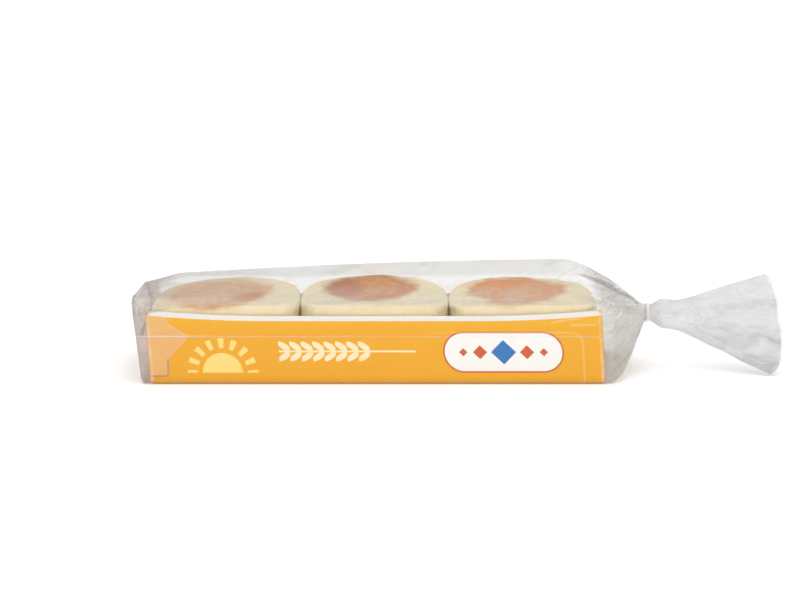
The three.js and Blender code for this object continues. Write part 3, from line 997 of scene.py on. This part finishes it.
def soften_gather(film):
    """Lets the broad pleats between the tray and the neck sink, so that the finer folds show."""
    places = points_of(film)
    free = ease(places[:, 0], *SOFTENED_X)
    free *= ease(places[:, 0], NECK.x - NECK_KEPT, NECK.x - 3 * NECK_KEPT) * off_floor(places)
    gather = film.vertex_groups.new(name="gather")
    for index in np.flatnonzero(free > 0):
        gather.add([int(index)], float(free[index]), "REPLACE")
    finish_with(film, "SMOOTH", factor=0.5, iterations=SOFTENED_TIMES, vertex_group="gather")
    film.vertex_groups.clear()


def mark_turn(film):
    """Writes 1 where the top turns down to the long sides, which the film's slope there tells."""
    places = points_of(film)
    rise = normals_of(film)[:, 2]
    turned = ease(rise, *TURN_SLOPE) * ease(rise, *TURN_SLOPE_TOP)
    turned *= ease(places[:, 2], *TURN_Z)
    turned *= ease(places[:, 0], *TURN_UP_TO_X)
    film.data.attributes.new("turned_down", "FLOAT", "POINT").data.foreach_set("value", turned)


def noise_at(places):
    """Smooth noise, about -1 to 1, at every place of an array."""
    return np.array([noise.noise(Vector(place)) for place in places])


def off_floor(places):
    """0 on the face that rests, 1 from a few millimetres above it."""
    return ease(places[:, 2], *OFF_FLOOR_Z)


def neck_folds(places):
    """Pleats that are the same all along a line from the neck, with sharp ridges and round valleys."""
    from_neck = places - np.array(NECK)
    distance = np.linalg.norm(from_neck, axis=1)
    past = places[:, 0] > NECK.x
    direction = PLEAT_FREQUENCY * from_neck / distance[:, None]
    direction += np.where(past, TAIL_DRAW, GATHER_DRAW)[:, None]
    folds = 0.6 * noise_at(direction) + 0.5 * (1 - 2.6 * np.abs(noise_at(FINE_PLEATS * direction)))
    height = np.minimum(PLEAT_HEIGHT, PLEAT_SLOPE * distance)
    height *= ease(places[:, 0], *PLEATED_X)
    height *= ease(distance, NECK_KEPT, 3 * NECK_KEPT)
    height *= np.where(past, TAIL_PLEAT_SHARE, 1.0)
    return folds * height * off_floor(places)


def crumple(places):
    """Soft dents with sharper ridges between them where the film hangs free, at the tail and the gather."""
    grains = places / CRUMPLE_GRAIN
    dents = noise_at(grains) + 0.6 * np.abs(noise_at(1.9 * grains + 9.0))
    free = ease(places[:, 0], *CRUMPLED_X)
    free *= ease(np.abs(places[:, 0] - NECK.x), NECK_KEPT, 5 * NECK_KEPT)
    return CRUMPLE_HEIGHT * dents * free * off_floor(places)


def drag_folds(places):
    """Long low folds that run slantwise over the top."""
    along = places[:, 0] * math.cos(DRAG_TURN) + places[:, 1] * math.sin(DRAG_TURN)
    across = places[:, 1] * math.cos(DRAG_TURN) - places[:, 0] * math.sin(DRAG_TURN)
    steps = (along / DRAG_LENGTH, across / DRAG_PITCH, np.full(len(places), 3.3))
    waves = noise_at(np.column_stack(steps))
    on_top = ease(places[:, 2], *DRAG_Z)
    on_top *= ease(places[:, 0], *DRAG_UP_TO_X)
    on_top *= ease(places[:, 1], *DRAG_UP_TO_Y)
    return DRAG_HEIGHT * np.maximum(waves + 0.15, 0) * on_top


def end_folds(places):
    """Upright pleats at the sealed end, and one long crease from its middle to the ridge."""
    steps = (np.full(len(places), 5.1), places[:, 1] / END_PLEAT_PITCH, places[:, 2] / (6 * END_PLEAT_PITCH))
    near_end = ease(places[:, 0], *END_PLEATS_X)
    near_end *= ease(np.abs(places[:, 1]), *END_PLEATS_Y)
    pleats = END_PLEAT_HEIGHT * (noise_at(np.column_stack(steps)) - 1) * near_end
    start, end = (np.array(place) for place in END_CREASE)
    length = np.linalg.norm(end - start)
    direction = (end - start) / length
    offset = places[:, :2] - start
    along = offset @ direction / length
    across = offset @ np.array((-direction[1], direction[0]))
    crease = END_CREASE_HEIGHT * np.exp(-(across / END_CREASE_WIDTH) ** 2)
    crease *= ease(along, -0.1, 0.15) * ease(along, 1.1, 0.6) * ease(places[:, 2], *END_CREASE_Z)
    return (pleats + crease) * off_floor(places)


def rim_height(x, y):
    """How high the tray's wall is at a place in its plan."""
    if y > LOW_WALL_FROM - TRAY_HALF_DEPTH - NEARLY:
        return LOW_WALL_HEIGHT
    level = RIM_LEVEL_SHARE * TRAY_HALF_LENGTH
    share = min(max((abs(x) - level) / (TRAY_HALF_LENGTH - level), 0), 1)
    return RIM_MIDDLE_HEIGHT + RIM_END_RISE * share ** 2


def card_tray():
    """A folded card tray whose front wall dips in the middle and whose ends and back are lower."""
    bpy.ops.object.select_all(action="DESELECT")
    top = RIM_MIDDLE_HEIGHT
    bpy.ops.mesh.primitive_cube_add(size=2, location=(0, 0, (TRAY_BASE + top) / 2))
    bpy.context.object.scale = (TRAY_HALF_LENGTH, TRAY_HALF_DEPTH, (top - TRAY_BASE) / 2)
    tray = new_piece("card_tray")
    pick(tray, "FACE", lambda middle, normal: normal.z > 0.9)
    bpy.ops.mesh.delete(type="ONLY_FACE")
    leave_edit()
    pick(tray, "EDGE", lambda start, end: min(start.z, end.z) < top - MM)
    bpy.ops.mesh.bevel(offset=TRAY_FOLD_RADIUS, segments=TRAY_FOLD_STEPS, affect="EDGES")
    leave_edit()
    only(tray)
    bpy.ops.object.mode_set(mode="EDIT")
    for column in range(1, RIM_COLUMNS):
        x = TRAY_HALF_LENGTH * (2 * column / RIM_COLUMNS - 1)
        bpy.ops.mesh.select_all(action="SELECT")
        bpy.ops.mesh.bisect(plane_co=(x, 0, 0), plane_no=(1, 0, 0))
    bpy.ops.mesh.select_all(action="SELECT")
    bpy.ops.mesh.bisect(plane_co=(0, LOW_WALL_FROM - TRAY_HALF_DEPTH, 0), plane_no=(0, 1, 0))
    leave_edit()
    for vertex in tray.data.vertices:
        if vertex.co.z > top - NEARLY:
            vertex.co.z = rim_height(vertex.co.x, vertex.co.y)
    mark_walls(tray)
    tray.data.transform(Matrix.Shear("XY", 4, (RACK, 0)))
    hand_over(tray, "card", card_material(), bare_card_material())
    finish_with(tray, "SOLIDIFY", thickness=CARD, offset=-1, use_even_offset=True, material_offset=1,
                material_offset_rim=1)
    only(tray)
    bpy.ops.object.shade_smooth_by_angle(angle=math.radians(50))


def mark_walls(tray):
    """Writes where each point is on its wall, for the print, and how far it is below the rim."""
    mesh = tray.data
    below = mesh.attributes.new("below_rim", "FLOAT", "POINT")
    for vertex in mesh.vertices:
        below.data[vertex.index].value = rim_height(vertex.co.x, vertex.co.y) - vertex.co.z
    wall = mesh.uv_layers.new(name="wall")
    for face in mesh.polygons:
        unprinted = abs(face.normal.x) > 0.7 or abs(face.normal.z) > 0.7
        for corner in face.loop_indices:
            place = mesh.vertices[mesh.loops[corner].vertex_index].co
            if unprinted:
                wall.data[corner].uv = (1 + place.y, place.z)
            else:
                wall.data[corner].uv = (-math.copysign(1, face.normal.y) * place.x, place.z)


def in_top_middle(middle, normal):
    """Whether a face is the one in the middle of a muffin's top or bottom."""
    return abs(normal.z) > 0.99 and Vector(middle[:2]).length < NEARLY


def muffin(name, centre, height, turn):
    """One muffin: a short drum with rounded edges, uneven all over."""
    bpy.ops.object.select_all(action="DESELECT")
    bpy.ops.mesh.primitive_cylinder_add(
        vertices=MUFFIN_SIDES, radius=MUFFIN_RADIUS, depth=height, end_fill_type="NGON", location=(0, 0, 0))
    piece = new_piece(name)
    pick(piece, "EDGE", lambda start, end: abs(start.z - end.z) < NEARLY)
    bpy.ops.mesh.bevel(offset=MUFFIN_EDGE_RADIUS, segments=MUFFIN_EDGE_STEPS, affect="EDGES")
    leave_edit()
    ring = (MUFFIN_RADIUS - MUFFIN_EDGE_RADIUS) / (MUFFIN_TOP_RINGS + 1)
    for _ in range(MUFFIN_TOP_RINGS):
        pick(piece, "FACE", in_top_middle)
        bpy.ops.mesh.inset(thickness=ring)
        leave_edit()
    pick(piece, "FACE", in_top_middle)
    bpy.ops.mesh.poke()
    leave_edit()
    pick(piece, "EDGE", lambda start, end: abs(start.z - end.z) > 5 * MM)
    bpy.ops.mesh.subdivide(number_cuts=MUFFIN_SIDE_CUTS)
    leave_edit()
    finish_with(piece, "SUBSURF", levels=2, render_levels=2)
    piece.data.transform(Matrix.Translation(centre) @ Matrix.Rotation(turn, 4, "Z"))
    for grain, lump in MUFFIN_LUMPS:
        uneven(piece, grain, lump)
    only(piece)
    bpy.ops.object.shade_smooth()
    return piece


def within(offset, limit):
    """Keeps an offset inside a limit either way, and eases off before it."""
    free = limit - PRESSED_DEPTH
    past = np.maximum(np.abs(offset) - free, 0)
    kept = np.minimum(np.abs(offset), free) + PRESSED_DEPTH * np.tanh(past / PRESSED_DEPTH)
    return np.sign(offset) * kept


def press_in(piece, centre, height, stack, covered):
    """Presses a muffin against its neighbours, the film and what is under and over it, and slopes it."""
    places = points_of(piece)
    offset = places[:, :2] - np.array(centre[:2])
    share = np.abs(offset) / np.maximum(np.linalg.norm(offset, axis=1), MM)[:, None]
    power = ROUND_AT_BACK + (ROUND_AT_FRONT - ROUND_AT_BACK) * ease(-offset[:, 1], *SQUARED_Y)
    offset *= (np.sum(share ** power[:, None], axis=1) ** (-1 / power))[:, None]
    offset[:, 0] *= 1 - NARROWED_AT_BACK * ease(offset[:, 1], *NARROWED_Y)
    places[:, 0] = centre.x + within(offset[:, 0], MUFFIN_CONTACT)
    places[:, 1] = centre.y + within(offset[:, 1], MUFFIN_SIDE_ROOM)
    places[:, 2] = np.maximum(places[:, 2], centre.z - height / 2)
    if covered:
        places[:, 2] = np.minimum(places[:, 2], centre.z + height / 2)
    height_share = (places[:, 2] - MUFFIN_BASE) / (stack["top"] * MM - MUFFIN_BASE)
    places[:, 2] += stack["slope"] * (places[:, 0] - centre.x) * height_share
    place_points(piece, places)


def muffins():
    """Three stacks of two, leaning with the tray."""
    for number, stack in enumerate(STACKS):
        height = (stack["top"] * MM - MUFFIN_BASE) / MUFFIN_LAYERS
        for layer in range(MUFFIN_LAYERS):
            z = MUFFIN_BASE + (layer + 0.5) * height
            centre = Vector(((number - 1) * MUFFIN_PITCH + RACK * z, 0, z))
            name = f"muffin_{number + 1}_{layer + 1}"
            piece = muffin(name, centre, height, STACK_TURN * number + LAYER_TURN * layer)
            press_in(piece, centre, height, stack, covered=layer + 1 < MUFFIN_LAYERS)
            hand_over(piece, "crumb", muffin_material(name, centre, height, stack))


def neck_band():
    """A rounded band, a little thicker in the middle than at its edges."""
    outer = (BAND_HIGH.z - BAND_LOW.z) / 2
    sides_round, sides_across = BAND_SIDES
    bpy.ops.object.select_all(action="DESELECT")
    bpy.ops.mesh.primitive_torus_add(
        major_segments=sides_round, minor_segments=sides_across, major_radius=outer - BAND_THICKNESS / 2,
        minor_radius=BAND_THICKNESS / 2, location=(0, 0, 0))
    bpy.context.object.scale.z = (BAND_HIGH.x - BAND_LOW.x) / BAND_THICKNESS
    bpy.ops.object.transform_apply(scale=True)
    bpy.context.object.rotation_euler.y = math.pi / 2
    bpy.context.object.location = NECK
    band = new_piece("tie_band")
    uneven(band, *BAND_LUMPS)
    bpy.ops.object.shade_smooth()
    hand_over(band, "band", band_material())
    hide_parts("neck_band")


# The studio


def soft_box(name, place, width, height, power):
    lamp = bpy.data.lights.new(name, "AREA")
    lamp.shape = "RECTANGLE"
    lamp.size = width
    lamp.size_y = height
    lamp.energy = power
    holder = bpy.data.objects.new(name, lamp)
    bpy.context.scene.collection.objects.link(holder)
    holder.location = place
    holder.rotation_euler = (CAMERA_AIM - Vector(place)).to_track_quat("-Z", "Y").to_euler()


def studio():
    """A pale floor, soft lamps, and a surround that is bright overhead, dim where mirrored, plain to see."""
    bpy.ops.object.select_all(action="DESELECT")
    bpy.ops.mesh.primitive_plane_add(size=FLOOR_SIZE, location=(0, 0, -FLOOR_DROP))
    floor = new_piece("floor")
    floor.data.materials.append(floor_material())

    world = bpy.data.worlds.new("studio")
    bpy.context.scene.world = world
    world.use_nodes = True
    world.node_tree.nodes.clear()
    wires = Wires(world.node_tree)
    _, towards_back, up = wires.split(wires.node("ShaderNodeTexCoord").outputs["Generated"])
    lighting = wires.ease(up, 0.6, 0.95, 0.55, 1.9)
    level = wires.ease(towards_back, -0.6, 0.6, 0.12, 0.4)
    mirrored = wires.plus(level, wires.ease(up, 0.5, 0.95, 0.0, 0.8))
    ray = wires.node("ShaderNodeLightPath").outputs
    strength = wires.ease(ray["Is Glossy Ray"], 0.0, 1.0, lighting, mirrored)
    strength = wires.ease(ray["Is Camera Ray"], 0.0, 1.0, strength, 1.0)
    surround = wires.add("ShaderNodeBackground", Color=WHITE, Strength=strength)
    wires.add("ShaderNodeOutputWorld", Surface=surround["Background"])
    for lamp in LAMPS:
        soft_box(*lamp)


def camera():
    lens = bpy.data.cameras.new("camera")
    lens.lens = CAMERA_LENS
    lens.sensor_width = CAMERA_SENSOR
    holder = bpy.data.objects.new("camera", lens)
    bpy.context.scene.collection.objects.link(holder)
    away = Vector((0, -math.cos(CAMERA_ELEVATION), math.sin(CAMERA_ELEVATION)))
    holder.location = CAMERA_AIM + CAMERA_DISTANCE * away
    holder.rotation_euler = (-away).to_track_quat("-Z", "Y").to_euler()
    bpy.context.scene.camera = holder
    bpy.context.scene.view_settings.view_transform = "Standard"


camera()
studio()
film_bag()
card_tray()
muffins()
neck_band()
